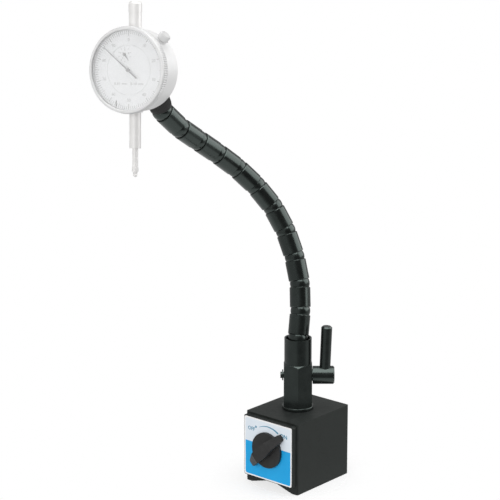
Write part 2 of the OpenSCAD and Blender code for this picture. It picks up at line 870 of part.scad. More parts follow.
module back_cover() {
    inside = case_back - cover_spigot_l;
    color(pale)
        multmatrix(dial_frame)
            difference() {
                union() {
                    dial_ring([[0, inside], [case_bore_r - press, inside], [case_bore_r - press, case_back],
                        [cover_r, case_back], [cover_r, cover_back], [0, cover_back]]);
                    along_depth(counter_x, counter_rise, cover_boss_r, inside - cover_boss_l, case_back);
                    translate([0, lug_reach, -lug_drop])
                        rotate([0, 90, 0]) cylinder(r = lug_r, h = lug_t, center = true);
                    translate([-lug_t / 2, cover_back - over, -lug_drop - lug_r])
                        cube([lug_t, lug_reach - cover_back + over, 2 * lug_r]);
                }
                translate([0, lug_reach, -lug_drop])
                    rotate([0, 90, 0]) cylinder(d = lug_screw_d + 2 * run, h = 2 * lug_t, center = true);
                along_depth(counter_x, counter_rise, counter_arbor_r + run, 0, inside);
                cover_pattern() {
                    translate([0, 0, case_back - over])
                        cylinder(r = cover_screw_r + press, h = cover_t + 2 * over);
                    translate([0, 0, cover_back - cover_head_t])
                        cylinder(r = cover_head_r + press, h = case_d);
                }
            }
}

module cover_screws() {
    color(steel)
        multmatrix(dial_frame)
            cover_pattern() {
                translate([0, 0, case_back - cover_screw_l])
                    cylinder(r = cover_screw_r, h = cover_screw_l + cover_t - cover_head_t / 2);
                translate([0, 0, cover_back - cover_head_t]) cylinder(r = cover_head_r, h = cover_head_t);
            }
}

module stem() {
    color(pale)
        multmatrix(dial_frame)
            translate([0, 0, -stem_drop])
                difference() {
                    union() {
                        cylinder(d = stem_d, h = stem_l);
                        cylinder(r = stem_spigot_r, h = stem_l + stem_spigot_l);
                    }
                    translate([0, 0, -over]) cylinder(d = plunger_d + 2 * run, h = stem_drop);
                }
}

module dust_cap() {
    rim_r = cap_d / 2 + cap_rim;
    color(pale)
        multmatrix(dial_frame)
            translate([0, 0, cap_foot])
                difference() {
                    union() {
                        cylinder(d = cap_d, h = cap_l - cap_round);
                        translate([0, 0, cap_l - cap_rim_h])
                            cylinder(r = rim_r, h = cap_rim_h - cap_round);
                        cylinder(r = rim_r - cap_round, h = cap_l);
                        translate([0, 0, cap_l - cap_round])
                            rotate_extrude() translate([rim_r - cap_round, 0]) circle(r = cap_round);
                    }
                    translate([0, 0, -over]) cylinder(r = cap_bore_r, h = cap_l - cap_round + over);
                }
}

module bezel_clamp() {
    color(pale)
        multmatrix(dial_frame)
            at_clamp() {
                translate([0, 0, case_bore_r + clamp_shank_gap])
                    cylinder(r = clamp_shank_r, h = clamp_foot - case_bore_r - clamp_shank_gap + over);
                translate([0, 0, clamp_foot]) cylinder(d = clamp_d, h = clamp_l);
            }
}

module bezel() {
    chamfer = 1;
    inner = window_d / 2;
    outer = bezel_d / 2;
    color(pale)
        multmatrix(dial_frame)
            dial_ring([[inner, bezel_y], [outer - chamfer, bezel_y], [outer, bezel_y + chamfer],
                [outer, bezel_back], [skirt_r, bezel_back], [skirt_r, ring_y], [inner, ring_y],
                [inner, crystal_y + crystal_t], [crystal_r, crystal_y + crystal_t], [crystal_r, crystal_y],
                [inner, crystal_y]]);
}

module crystal() {
    color([0.85, 0.9, 0.92, 0.4])
        multmatrix(dial_frame) along_depth(0, 0, crystal_r - press, crystal_y, crystal_y + crystal_t);
}

module dial_face() {
    color("white")
        multmatrix(dial_frame)
            dial_ring([[centre_d / 2 + slide, ring_y], [spigot_r, ring_y], [spigot_r, ring_y + ring_t],
                [centre_d / 2 + slide, ring_y + ring_t]]);
}

// Flat hand in the dial's plane, from its tail to its tip
module hand(depth, angle, tip, tail, w, hub_r) {
    rotate([0, -angle, 0])
        translate([0, depth, 0])
            rotate([90, 0, 0])
                linear_extrude(hand_t) {
                    polygon([[-tail, -w / 2], [0, -w / 2], [tip, -w / 6], [tip, w / 6], [0, w / 2],
                        [-tail, w / 2]]);
                    circle(r = hub_r);
                }
}

module main_hand() {
    hand_w = 0.8;
    hub_r = 1.3;
    color("dimgray") multmatrix(dial_frame)
        difference() {
            hand(main_y, hand_turn, hand_l, hand_tail, hand_w, hub_r);
            along_depth(0, 0, centre_arbor_r + press, main_y - hand_t + hand_cap, 0);
        }
}

module counter_hand() {
    hand_w = 0.6;
    hub_r = 1.1;
    tail = 1.6;
    color("dimgray") multmatrix(dial_frame)
        translate([counter_x, 0, counter_rise])
            difference() {
                hand(counter_y, counter_turn, counter_l, tail, hand_w, hub_r);
                along_depth(0, 0, counter_arbor_r + press, counter_y - hand_t + hand_cap, 0);
            }
}

module movement_plate() {
    plate_r = lip_r - run;
    color("white")
        multmatrix(dial_frame)
            difference() {
                union() {
                    along_depth(0, 0, plate_r, ledge_y - ledge_t, ledge_y);
                    along_depth(0, 0, centre_d / 2, ring_y, ledge_y - ledge_t / 2);
                }
                along_depth(0, 0, centre_arbor_r + run, bezel_y, case_d);
                along_depth(counter_x, counter_rise, counter_arbor_r + run, bezel_y, case_d);
            }
}

module rack_wheel() {
    wheel_end = 0.4;
    hub = counter_y - hand_t + hand_cap;
    tail = case_back - cover_spigot_l - wheel_end;
    color(brass)
        multmatrix(dial_frame) {
            along_depth(counter_x, counter_rise, counter_arbor_r, hub + arbor_end, tail);
            along_depth(counter_x, counter_rise, pinion_r, -pinion_t / 2, pinion_t / 2);
            along_depth(counter_x, counter_rise, wheel_r, wheel_y, wheel_y + wheel_t);
        }
}

module centre_pinion() {
    hub = main_y - hand_t + hand_cap;
    color(steel)
        multmatrix(dial_frame) {
            along_depth(0, 0, centre_arbor_r, hub + arbor_end, wheel_y + wheel_t);
            along_depth(0, 0, centre_pinion_r, wheel_y, wheel_y + wheel_t);
        }
}

module plunger() {
    rack_low = counter_rise - pinion_r - plunger_travel - rack_end;
    rack_high = counter_rise + pinion_r + rack_end;
    color(steel)
        multmatrix(dial_frame)
            difference() {
                union() {
                    translate([0, 0, -plunger_end])
                        cylinder(d = plunger_d, h = plunger_end + plunger_top);
                    translate([0, 0, pin_z]) rotate([0, 90, 0])
                        cylinder(r = pin_r, h = spring_x + spring_r);
                }
                translate([-plunger_d - rack_flat, -plunger_d, rack_low])
                    cube([plunger_d, 2 * plunger_d, rack_high - rack_low]);
                translate([0, 0, -plunger_end - over])
                    cylinder(r = point_stud_r + press, h = point_stud_l + press + over);
            }
}

module contact_point() {
    collar_step = 0.3;
    neck_step = 0.2;
    tip_r = 0.8 * point_ball_r;
    taper = point_l - point_collar - point_ball_r;
    color(steel)
        multmatrix(dial_frame)
            translate([0, 0, -plunger_end]) {
                translate([0, 0, -over]) cylinder(r = point_stud_r, h = point_stud_l + over);
                translate([0, 0, -point_collar])
                    cylinder(r = plunger_d / 2 + collar_step, h = point_collar);
                translate([0, 0, -point_collar - taper])
                    cylinder(r1 = tip_r, r2 = plunger_d / 2 - neck_step, h = taper);
                translate([0, 0, -point_l + point_ball_r]) sphere(r = point_ball_r);
            }
}

module return_spring() {
    coil = spring_top - spring_low - spring_wire;
    steps = spring_turns * spring_steps;
    foot = spring_low + spring_wire / 2;
    path = [for (i = [0:steps])
        let (a = 360 * i / spring_steps)
            [spring_x + spring_r * cos(a), spring_r * sin(a), foot + coil * i / steps]];
    color(steel) multmatrix(dial_frame) swept(path, spring_wire / 2, spring_sides, [0, 0, 1]);
}

left_pole();
right_pole();
pole_spacer();
front_plate();
label_plate();
rear_plate();
plate_screws();
magnet_rotor();
rotor_spindle();
switch_knob();
post_stud();
hex_post();
cam_shaft();
lever_rod();
cam_clip();
cable_puller();
tension_cable();
for (k = [1:tube_count]) tube(k);
for (k = [0:ball_count - 1]) ball(k);
arm_head();
cable_stop();
lug_screw();
dial_case();
back_cover();
cover_screws();
stem();
dust_cap();
bezel_clamp();
bezel();
crystal();
dial_face();
main_hand();
counter_hand();
movement_plate();
rack_wheel();
centre_pinion();
plunger();
contact_point();
return_spring();
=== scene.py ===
"""Looks of a dial indicator on a flexible magnetic base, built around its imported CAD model."""

import json
import math

import bmesh
import bpy
from mathutils import Matrix, Quaternion, Vector


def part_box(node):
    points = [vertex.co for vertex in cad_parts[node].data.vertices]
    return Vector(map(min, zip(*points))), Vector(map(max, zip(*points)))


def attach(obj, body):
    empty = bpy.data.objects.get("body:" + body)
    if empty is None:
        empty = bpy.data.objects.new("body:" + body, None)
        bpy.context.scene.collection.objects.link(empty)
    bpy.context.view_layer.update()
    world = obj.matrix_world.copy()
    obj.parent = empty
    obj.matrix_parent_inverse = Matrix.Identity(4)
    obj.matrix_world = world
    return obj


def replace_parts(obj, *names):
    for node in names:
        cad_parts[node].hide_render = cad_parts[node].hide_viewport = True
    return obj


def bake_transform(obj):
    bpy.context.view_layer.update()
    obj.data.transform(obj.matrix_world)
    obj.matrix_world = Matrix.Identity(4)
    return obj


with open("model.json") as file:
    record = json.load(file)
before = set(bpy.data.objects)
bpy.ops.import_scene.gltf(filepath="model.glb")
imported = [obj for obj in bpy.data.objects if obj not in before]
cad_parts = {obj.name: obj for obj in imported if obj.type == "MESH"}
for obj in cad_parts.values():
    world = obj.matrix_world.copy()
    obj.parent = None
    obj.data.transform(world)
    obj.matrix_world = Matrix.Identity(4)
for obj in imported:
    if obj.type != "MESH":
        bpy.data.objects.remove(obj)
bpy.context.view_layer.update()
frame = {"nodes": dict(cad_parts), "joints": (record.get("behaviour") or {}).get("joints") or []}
nodes = frame["nodes"]
joints = {joint["name"]: joint for joint in frame["joints"]}
scene = bpy.context.scene
MM = 0.001
BALLS = 12


# Frames of the parts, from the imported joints

def place(origin, x, y, z):
    """Frame for shapes drawn in millimetres, from its axes and its origin in metres."""
    turn = Matrix((x, y, z)).transposed().to_4x4()
    turn.translation = origin
    return turn @ Matrix.Scale(MM, 4)


def joint_pos(name):
    return Vector(joints[name]["pos_m"])


def joint_axis(name):
    return Vector(joints[name]["axis"]).normalized()


def about(origin, z, hint=Vector((1, 0, 0))):
    """Frame with +Z along an axis and +X near a hint."""
    x = (hint - hint.dot(z) * z).normalized()
    return place(origin, x, z.cross(x), z)


DIAL_Y, DIAL_Z = joint_axis("bezel_turn"), joint_axis("plunger_slide")
DIAL_X = DIAL_Y.cross(DIAL_Z)
DIAL_AT = joint_pos("bezel_turn")
# The dial seen from its front: X right, Y up, Z towards the viewer
FACE = place(DIAL_AT, DIAL_X, DIAL_Z, -DIAL_Y)
FACE_INVERSE = FACE.inverted()
COUNTER_AT = FACE_INVERSE @ joint_pos("counter_turn")
CENTRES = [joint_pos("fore_%02d" % k) for k in range(BALLS)]
LUG_AT = joint_pos("lug_screw_turn")
HEAD_AXIS = (LUG_AT - CENTRES[-1]).normalized()
HEAD = about(CENTRES[-1], HEAD_AXIS)
LUG = about(LUG_AT, joint_axis("lug_screw_turn"), DIAL_Z)
CLAMP = about(DIAL_AT, joint_axis("clamp_turn"), DIAL_Y)
WORLD = Matrix.Scale(MM, 4)


def face_points(node):
    """Points of a node in the dial's frame, in millimetres."""
    return [FACE_INVERSE @ v.co for v in nodes[node].data.vertices]


def face_depth(node):
    """Front of a node on the dial, in millimetres towards the viewer."""
    return max(point.z for point in face_points(node))


# Materials: each has noise in its colour and roughness, and a fine grain

NOISE_SPAN = (0.3, 0.7)


def ranged(tree, value, source, target, smooth=False):
    """Value of a node mapped from one span to another."""
    node = tree.nodes.new("ShaderNodeMapRange")
    if smooth:
        node.interpolation_type = "SMOOTHSTEP"
    for key, number in zip(("From Min", "From Max", "To Min", "To Max"), (*source, *target)):
        node.inputs[key].default_value = number
    tree.links.new(value, node.inputs["Value"])
    return node.outputs["Result"]


def noise(tree, vector, size, **settings):
    """Noise with a size in millimetres."""
    node = tree.nodes.new("ShaderNodeTexNoise")
    node.inputs["Scale"].default_value = 1 / (size * MM)
    for key, value in settings.items():
        node.inputs[key].default_value = value
    tree.links.new(vector, node.inputs["Vector"])
    return node.outputs["Fac"]


def surface(name, colours, rough, patch, grain, metal=0.0, specular=0.5, **fixed):
    """Procedural surface with patches of a size in mm, and a grain of a size and height in mm."""
    material = bpy.data.materials.new(name)
    material.use_nodes = True
    tree = material.node_tree
    link = tree.links.new
    shader = tree.nodes["Principled BSDF"]
    shader.inputs["Metallic"].default_value = metal
    shader.inputs["Specular IOR Level"].default_value = specular
    for key, value in fixed.items():
        shader.inputs[key.replace("_", " ")].default_value = value
    where = tree.nodes.new("ShaderNodeTexCoord").outputs["Object"]
    cloud = noise(tree, where, patch, Detail=5, Roughness=0.6)
    ramp = tree.nodes.new("ShaderNodeValToRGB")
    for stop, at, colour in zip(ramp.color_ramp.elements, NOISE_SPAN, colours):
        stop.position = at
        stop.color = (*colour, 1)
    link(cloud, ramp.inputs["Fac"])
    link(ramp.outputs["Color"], shader.inputs["Base Color"])
    link(ranged(tree, cloud, NOISE_SPAN, rough), shader.inputs["Roughness"])
    grain_size, grain_height = grain
    bump = tree.nodes.new("ShaderNodeBump")
    bump.inputs["Distance"].default_value = grain_height * MM
    link(noise(tree, where, grain_size, Detail=3), bump.inputs["Height"])
    link(bump.outputs["Normal"], shader.inputs["Normal"])
    return material


def greys(low, high, tint=(1, 1, 1)):
    """Two levels of grey with a tint."""
    return [tuple(level * t for t in tint) for level in (low, high)]


GREENISH = (0.90, 1.0, 0.96)
BLUISH = (0.98, 0.99, 1.0)
WARM = (1.0, 0.988, 0.975)

PAINT = surface(
    "block_paint", greys(0.012, 0.019, GREENISH), rough=(0.45, 0.6), patch=4, grain=(0.6, 0.05),
    specular=0.35, Specular_Tint=(0.88, 1.0, 0.93, 1))
OXIDE = surface(
    "black_oxide", greys(0.005, 0.010, GREENISH), rough=(0.18, 0.25), patch=6, grain=(0.25, 0.004),
    specular=0.8, Specular_Tint=(0.82, 1.0, 0.94, 1))
HEAD_OXIDE = surface(
    "head_oxide", greys(0.012, 0.019), rough=(0.40, 0.5), patch=5, grain=(0.25, 0.01), specular=0.4)
KNOB = surface(
    "knob_plastic", greys(0.018, 0.027), rough=(0.42, 0.55), patch=5, grain=(0.2, 0.012), specular=0.35)
BRASS = surface(
    "spacer_brass", ((0.50, 0.34, 0.10), (0.60, 0.43, 0.15)),
    rough=(0.28, 0.4), patch=5, grain=(0.2, 0.004), metal=1.0)
STEEL = surface(
    "ground_steel", greys(0.48, 0.58), rough=(0.22, 0.36), patch=6, grain=(0.2, 0.004), metal=1.0)
MAGNET = surface(
    "sintered_magnet", greys(0.06, 0.1), rough=(0.4, 0.6), patch=3, grain=(0.15, 0.01), metal=0.6)
BEZEL_ALLOY = surface(
    "bezel_alloy", greys(0.66, 0.70), rough=(0.3, 0.4), patch=8, grain=(0.2, 0.002), metal=0.1)
PALE_ALLOY = surface(
    "pale_alloy", greys(0.79, 0.83), rough=(0.3, 0.4), patch=8, grain=(0.2, 0.002), metal=0.05)
PALE_STEEL = surface(
    "pale_steel", greys(0.77, 0.80, WARM), rough=(0.28, 0.34), patch=8, grain=(0.4, 0.0001), metal=0.18)
DIAL_WHITE = surface(
    "dial_white", greys(0.76, 0.78, BLUISH), rough=(0.45, 0.55), patch=10, grain=(0.2, 0.002),
    specular=0.3)
TICK_GREY = surface(
    "tick_grey", greys(0.24, 0.30), rough=(0.5, 0.6), patch=4, grain=(0.1, 0.001), specular=0.3)
FIGURE_GREY = surface(
    "figure_grey", greys(0.38, 0.44), rough=(0.5, 0.6), patch=4, grain=(0.1, 0.001), specular=0.3)
HAND = surface(
    "hand_paint", greys(0.32, 0.38), rough=(0.4, 0.5), patch=3, grain=(0.1, 0.002), specular=0.4)
LIMIT = surface(
    "limit_paint", greys(0.10, 0.15), rough=(0.4, 0.5), patch=3, grain=(0.1, 0.002), specular=0.4)
LABEL_WHITE = surface(
    "label_white", greys(0.83, 0.87), rough=(0.3, 0.4), patch=12, grain=(0.3, 0.002), specular=0.4)
LABEL_PALE = surface(
    "label_pale", ((0.69, 0.75, 0.82), (0.73, 0.79, 0.85)),
    rough=(0.3, 0.4), patch=12, grain=(0.3, 0.002), specular=0.3)
LABEL_BLUE = surface(
    "label_blue", ((0.012, 0.34, 0.70), (0.016, 0.37, 0.75)),
    rough=(0.35, 0.45), patch=12, grain=(0.3, 0.002), specular=0.25)
LABEL_TEAL = surface(
    "label_teal", ((0.06, 0.24, 0.36), (0.08, 0.27, 0.40)),
    rough=(0.35, 0.45), patch=12, grain=(0.3, 0.002), specular=0.25)
GLASS = surface(
    "clear_window", greys(0.9, 0.94), rough=(0.03, 0.06), patch=20, grain=(5, 0.0005),
    specular=0.5, Alpha=0.1)

for material, names in {
    PAINT: ["left_pole", "right_pole", "pole_spacer", "front_plate", "rear_plate"],
    BRASS: ["cable_stop", "rack_wheel"],
    LABEL_WHITE: ["label_plate"],
    STEEL: ["rotor_spindle", "cable_puller", "centre_pinion"],
    MAGNET: ["magnet_rotor"],
    KNOB: ["switch_knob"],
    OXIDE: ["post_stud", "hex_post", "cam_shaft", "lever_rod", "cam_clip", "lug_screw"]
        + [n for n in nodes if n.startswith(("tube_", "ball_"))],
    HEAD_OXIDE: ["arm_head"],
    PALE_ALLOY: ["dial_case", "back_cover"],
    PALE_STEEL: ["stem", "plunger", "contact_point", "dust_cap"],
    GLASS: ["crystal"],
    DIAL_WHITE: ["dial_face", "movement_plate"],
    HAND: ["main_hand", "counter_hand"],
}.items():
    for name in names:
        nodes[name].data.materials.clear()
        nodes[name].data.materials.append(material)


# Mesh building

def piece(name, bm, matrix, body, material, smooth=0.6):
    """Object from a bmesh drawn in millimetres, riding on a body, or on none where it blends."""
    bmesh.ops.recalc_face_normals(bm, faces=bm.faces)
    mesh = bpy.data.meshes.new(name)
    bm.to_mesh(mesh)
    bm.free()
    mesh.transform(matrix)
    if matrix.determinant() < 0:
        mesh.flip_normals()
    mesh.polygons.foreach_set("use_smooth", [True] * len(mesh.polygons))
    mesh.set_sharp_from_angle(angle=smooth)
    mesh.materials.append(material)
    made = bpy.data.objects.new(name, mesh)
    scene.collection.objects.link(made)
    if body:
        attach(made, body)
    return made


def lathe(bm, profile, steps, ridges=0, depth=0.0):
    """Profile of radius, height and share of the ridges' depth, turned about Z.

    It closes on itself or on the axis.
    """
    poles = {j: bm.verts.new((0, 0, z)) for j, (r, z, share) in enumerate(profile) if r == 0}
    rings = []
    for i in range(steps):
        a = math.tau * i / steps
        cut = depth * (0.5 - 0.5 * math.cos(ridges * a)) if ridges else 0.0
        ring = []
        for j, (r, z, share) in enumerate(profile):
            out = r - cut * share
            ring.append(poles.get(j) or bm.verts.new((out * math.cos(a), out * math.sin(a), z)))
        rings.append(ring)
    count = len(profile)
    for i in range(steps):
        near, far = rings[i], rings[(i + 1) % steps]
        for j in range(count):
            k = (j + 1) % count
            if j in poles and k in poles:
                continue
            corners = dict.fromkeys((near[j], far[j], far[k], near[k]))
            bm.faces.new(list(corners))


def loft(bm, outlines):
    """Closed solid through outlines with the same number of points, each a list of 3-D points."""
    rings = [[bm.verts.new(p) for p in outline] for outline in outlines]
    count = len(rings[0])
    for low, high in zip(rings, rings[1:]):
        for i in range(count):
            j = (i + 1) % count
            bm.faces.new((low[i], low[j], high[j], high[i]))
    bm.faces.new(list(reversed(rings[0])))
    bm.faces.new(rings[-1])


def prism(bm, outline, low, high):
    loft(bm, [[(x, y, z) for x, y in outline] for z in (low, high)])


def bar(bm, start, end, width, low, high):
    """Flat bar between two points on a face."""
    a, b = Vector(start), Vector(end)
    side = Vector((a.y - b.y, b.x - a.x)).normalized() / 2 * width
    prism(bm, [a - side, b - side, b + side, a + side], low, high)


def figures(bm, words, size, at, low, high, spacing=1.0, weight=0.0):
    """Figures in the built-in type, centred on a point of a face."""
    curve = bpy.data.curves.new("figures", "FONT")
    curve.body = words
    curve.size = size
    curve.align_x = "CENTER"
    curve.align_y = "CENTER"
    curve.extrude = (high - low) / 2
    curve.space_character = spacing
    curve.offset = weight
    made = bpy.data.objects.new("figures", curve)
    scene.collection.objects.link(made)
    shaped = made.evaluated_get(bpy.context.evaluated_depsgraph_get())
    mesh = bpy.data.meshes.new_from_object(shaped)
    mesh.transform(Matrix.Translation((at[0], at[1], (low + high) / 2)))
    bm.from_mesh(mesh)
    bpy.data.objects.remove(made)
    bpy.data.curves.remove(curve)
    bpy.data.meshes.remove(mesh)


def tube(bm, path, radius, sides):
    """Round wire along points."""
    rings = []
    side = None
    for i, p in enumerate(path):
        ahead = (path[min(i + 1, len(path) - 1)] - path[max(i - 1, 0)]).normalized()
        if side is None:
            side = ahead.orthogonal()
        side = (side - side.dot(ahead) * ahead).normalized()
        up = ahead.cross(side)
        angles = [math.tau * s / sides for s in range(sides)]
        rings.append([p + radius * (math.cos(a) * side + math.sin(a) * up) for a in angles])
    loft(bm, rings)


def polar(radius, degrees):
    a = math.radians(degrees)
    return Vector((radius * math.cos(a), radius * math.sin(a)))


# Bezel with a ribbed band, clamp, screw and head with their knurls

RIB_STEPS = 4
BEZEL_R, WINDOW_R, CRYSTAL_R, SKIRT_R = 30, 27.4, 28.15, 27.56
BEZEL_FRONT, BEZEL_BACK, LIP, CRYSTAL_BACK, LEDGE = 12.9, 6.9, 12.2, 11.2, 8.8
WINDOW_EDGE = 0.3
# Rim of the bezel from its front and from its back: inset, height, share of the ribs
FRONT_RIM = (
    (1.3, 0, 0), (0.8, 0.15, 0), (0.45, 0.6, 0), (0.4, 1.15, 0), (0.8, 1.4, 0), (0.8, 1.6, 0),
    (0.4, 1.8, 0.3), (0, 2.2, 1))
BACK_RIM = ((0, 0.6, 1), (0.3, 0.2, 0.3), (0.7, 0, 0))
BEZEL_PROFILE = [
    (WINDOW_R, LIP, 0), (WINDOW_R, BEZEL_FRONT - WINDOW_EDGE, 0),
    (WINDOW_R + WINDOW_EDGE, BEZEL_FRONT, 0),
    *((BEZEL_R - inset, BEZEL_FRONT - height, share) for inset, height, share in FRONT_RIM),
    *((BEZEL_R - inset, BEZEL_BACK + height, share) for inset, height, share in BACK_RIM),
    (SKIRT_R, BEZEL_BACK, 0), (SKIRT_R, LEDGE, 0), (WINDOW_R, LEDGE, 0),
    (WINDOW_R, CRYSTAL_BACK, 0), (CRYSTAL_R, CRYSTAL_BACK, 0), (CRYSTAL_R, LIP, 0)]
CLAMP_PROFILE = [
    (0, 25.5, 0), (1.5, 25.5, 0), (1.5, 29.6, 0), (3.5, 29.6, 0), (4, 30.1, 1), (4, 33.9, 1),
    (3.4, 34.5, 0.4), (2.4, 34.6, 0), (0, 34.4, 0)]
LUG_PROFILE = [
    (0, -7.6, 0), (2.6, -7.6, 0), (3, -7.2, 0), (3, 6.9, 0), (5.4, 6.9, 0), (6, 7.5, 1),
    (6, 14.2, 1), (5.4, 14.9, 0.3), (4.4, 14.9, 0), (3.9, 14.3, 0), (0, 14.3, 0)]
KNURL_PROFILE = [
    (7.8, 4.6, 0), (8.05, 4.6, 0), (8.3, 4.9, 1), (8.3, 18.9, 1), (8.05, 19.2, 0), (7.8, 19.2, 0)]


def ridged(profile, ridges, depth):
    bm = bmesh.new()
    lathe(bm, profile, ridges * RIB_STEPS, ridges, depth)
    return bm


bm = ridged(BEZEL_PROFILE, ridges=120, depth=0.6)
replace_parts(piece("bezel_ribbed", bm, FACE, "bezel", BEZEL_ALLOY), "bezel")
bm = ridged(CLAMP_PROFILE, ridges=26, depth=0.45)
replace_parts(piece("clamp_knurled", bm, CLAMP, "clamp", BEZEL_ALLOY), "bezel_clamp")
bm = ridged(LUG_PROFILE, ridges=36, depth=0.6)
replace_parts(piece("lug_screw_knurled", bm, LUG, "lug_screw", OXIDE), "lug_screw")
bm = ridged(KNURL_PROFILE, ridges=48, depth=0.35)
piece("head_knurl", bm, HEAD, "head", HEAD_OXIDE)


# Print on the dial

INK = 0.02
DIVISIONS = 100
TICK_R = 26.9
# How often each tick comes, its length and its width
TICKS = ((10, 3.6, 0.36), (5, 3.0, 0.26), (1, 2.4, 0.22))
FIGURES, FIGURE_R, FIGURE_SIZE = 10, 20.6, 3.0
LIMIT_AT, LIMIT_RUN, LIMIT_W = Vector((-9.9, -20.8)), Vector((0.2, 5.0)), 0.6
COUNTER_TICKS, COUNTER_TICK_W = (4.2, 5.2), 0.35
COUNTER_FIGURE_R, COUNTER_FIGURE_SIZE = 3.2, 1.5
UNITS, UNITS_SIZE, UNITS_AT = "0.01 mm   0-10 mm", 2.4, (0, -9.4)
ring = face_depth("dial_face")
centre = face_depth("movement_plate")

bm = bmesh.new()
for i in range(DIVISIONS):
    degrees = 90 - 360 / DIVISIONS * i
    length, width = next((run, across) for every, run, across in TICKS if i % every == 0)
    bar(bm, polar(TICK_R - length, degrees), polar(TICK_R, degrees), width, ring, ring + INK)
piece("graduations", bm, FACE, "bezel", TICK_GREY)
bm = bmesh.new()
for i in range(FIGURES):
    at = polar(FIGURE_R, 90 - 360 / FIGURES * i)
    figures(bm, str(DIVISIONS // FIGURES * i), FIGURE_SIZE, at, ring, ring + INK)
piece("dial_figures", bm, FACE, "bezel", FIGURE_GREY)
bm = bmesh.new()
bar(bm, LIMIT_AT, LIMIT_AT - LIMIT_RUN, LIMIT_W, ring, ring + 3 * INK)
piece("limit_mark", bm, FACE, "bezel", LIMIT)

bm = bmesh.new()
counter = Vector(COUNTER_AT[:2])
for i in range(FIGURES):
    degrees = 90 + 360 / FIGURES * i
    start, end = (counter + polar(r, degrees) for r in COUNTER_TICKS)
    bar(bm, start, end, COUNTER_TICK_W, centre, centre + INK)
    if i % 2 == 0:
        at = counter + polar(COUNTER_FIGURE_R, degrees)
        figures(bm, str(i), COUNTER_FIGURE_SIZE, at, centre, centre + INK, weight=0.03)
figures(bm, UNITS, UNITS_SIZE, UNITS_AT, centre, centre + INK, spacing=1.2, weight=0.02)
piece("centre_print", bm, FACE, "indicator", FIGURE_GREY)


# Label print

FILM = 0.03
LABEL_EDGE, LABEL_CORNER, LABEL_HOLE, LABEL_SPLIT = 1.0, 1.2, 6, 0.41
low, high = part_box("label_plate")
label_at = Vector(((low.x + high.x) / 2, low.y, (low.z + high.z) / 2))
LABEL = place(label_at, Vector((1, 0, 0)), Vector((0, 0, 1)), Vector((0, -1, 0)))
label_w, label_h = (high.x - low.x) / MM, (high.z - low.z) / MM
knob_at = LABEL.inverted() @ joint_pos("switch_turn")
left, right = -label_w / 2 + LABEL_EDGE, label_w / 2 - LABEL_EDGE
bottom, top = -label_h / 2 + LABEL_EDGE, label_h / 2 - LABEL_EDGE
split = label_h / 2 - LABEL_SPLIT * label_h


def panel(name, far, material):
    """Printed panel from the split to its far edge, with a notch round the spindle."""
    bm = bmesh.new()
    hole, corner = LABEL_HOLE, LABEL_CORNER
    notch = knob_at.y + math.copysign(hole, far - split)
    rise = math.copysign(corner, far - split)
    prism(bm, [
        (left, split), (-hole, split), (-hole, notch), (hole, notch), (hole, split), (right, split),
        (right, far - rise), (right - corner / 3, far - rise / 3), (right - corner, far),
        (left + corner, far), (left + corner / 3, far - rise / 3), (left, far - rise)], 0, FILM)
    return piece(name, bm, LABEL, "base", material, smooth=0.1)


panel("label_upper", top, LABEL_PALE)
panel("label_lower", bottom, LABEL_BLUE)

# An arrow's arc that widens from OFF to ON, with a dot at its start
ARC_R, ARC_FROM, ARC_TO, ARC_STEPS = 18.0, 118, 56, 24
ARC_THIN, ARC_WIDENS = 0.15, 0.5
DOT_AT, DOT_R, DOT_STEPS = (19.3, 127), 0.9, 24
bm = bmesh.new()
points = []
for i in range(ARC_STEPS + 1):
    degrees = ARC_FROM + (ARC_TO - ARC_FROM) * i / ARC_STEPS
    points.append((degrees, ARC_THIN + ARC_WIDENS * i / ARC_STEPS))
axis = Vector(knob_at[:2])
inner = [axis + polar(ARC_R - w, d) for d, w in points]
outer = [axis + polar(ARC_R + w, d) for d, w in reversed(points)]
prism(bm, inner + outer, FILM, 2 * FILM)
dot = axis + polar(*DOT_AT)
prism(bm, [dot + polar(DOT_R, 360 / DOT_STEPS * i) for i in range(DOT_STEPS)], FILM, 2 * FILM)
figures(bm, "OFF", 3.9, (-16.0, 14.2), FILM, 2 * FILM, weight=0.08)
figures(bm, "ON", 4.4, (15.3, 15.0), FILM, 2 * FILM, weight=0.1)
piece("label_marks", bm, LABEL, "base", LABEL_TEAL, smooth=0.1)


# Screws with slots

SCREW_SIDES, SLOT_STEPS = 32, 16
PLATE_SCREW = {
    "shank_r": 1.5, "shank_l": 12, "head_low_r": 1.5, "head_r": 2.9, "head_t": 1.4,
    "slot_w": 0.7, "slot_t": 0.7}
PLATE_INSET, PLATE_SLOT_TURN = 4.6, 0.05
COVER_SCREW = {
    "shank_r": 0.9, "shank_l": 5.6, "head_low_r": 1.7, "head_r": 1.7, "head_t": 0.9,
    "slot_w": 0.5, "slot_t": 0.45}
COVER_SCREWS, COVER_SCREW_R, COVER_BACK = 4, 26, -10.6


def slotted(bm, matrix, shank_r, shank_l, head_low_r, head_r, head_t, slot_w, slot_t):
    """Screw along -Z with its head's top at the origin, cut by a slot along X."""
    part = bmesh.new()
    cut = (head_t - slot_t) / head_t
    slot_r = head_low_r + (head_r - head_low_r) * cut
    lathe(part, [
        (0, -shank_l, 0), (shank_r, -shank_l, 0), (shank_r, -head_t, 0), (head_low_r, -head_t, 0),
        (slot_r, -slot_t, 0), (0, -slot_t, 0)], SCREW_SIDES)
    for side in (-1, 1):
        rings = []
        for z, r in ((-slot_t, slot_r), (0, head_r)):
            half = math.degrees(math.acos(slot_w / 2 / r))
            turns = [90 + half * (1 - 2 * i / SLOT_STEPS) for i in range(SLOT_STEPS + 1)]
            rings.append([(*(side * polar(r, turn)), z) for turn in turns])
        loft(part, rings)
    part.transform(matrix)
    mesh = bpy.data.meshes.new("screw")
    part.to_mesh(mesh)
    bm.from_mesh(mesh)
    part.free()
    bpy.data.meshes.remove(mesh)


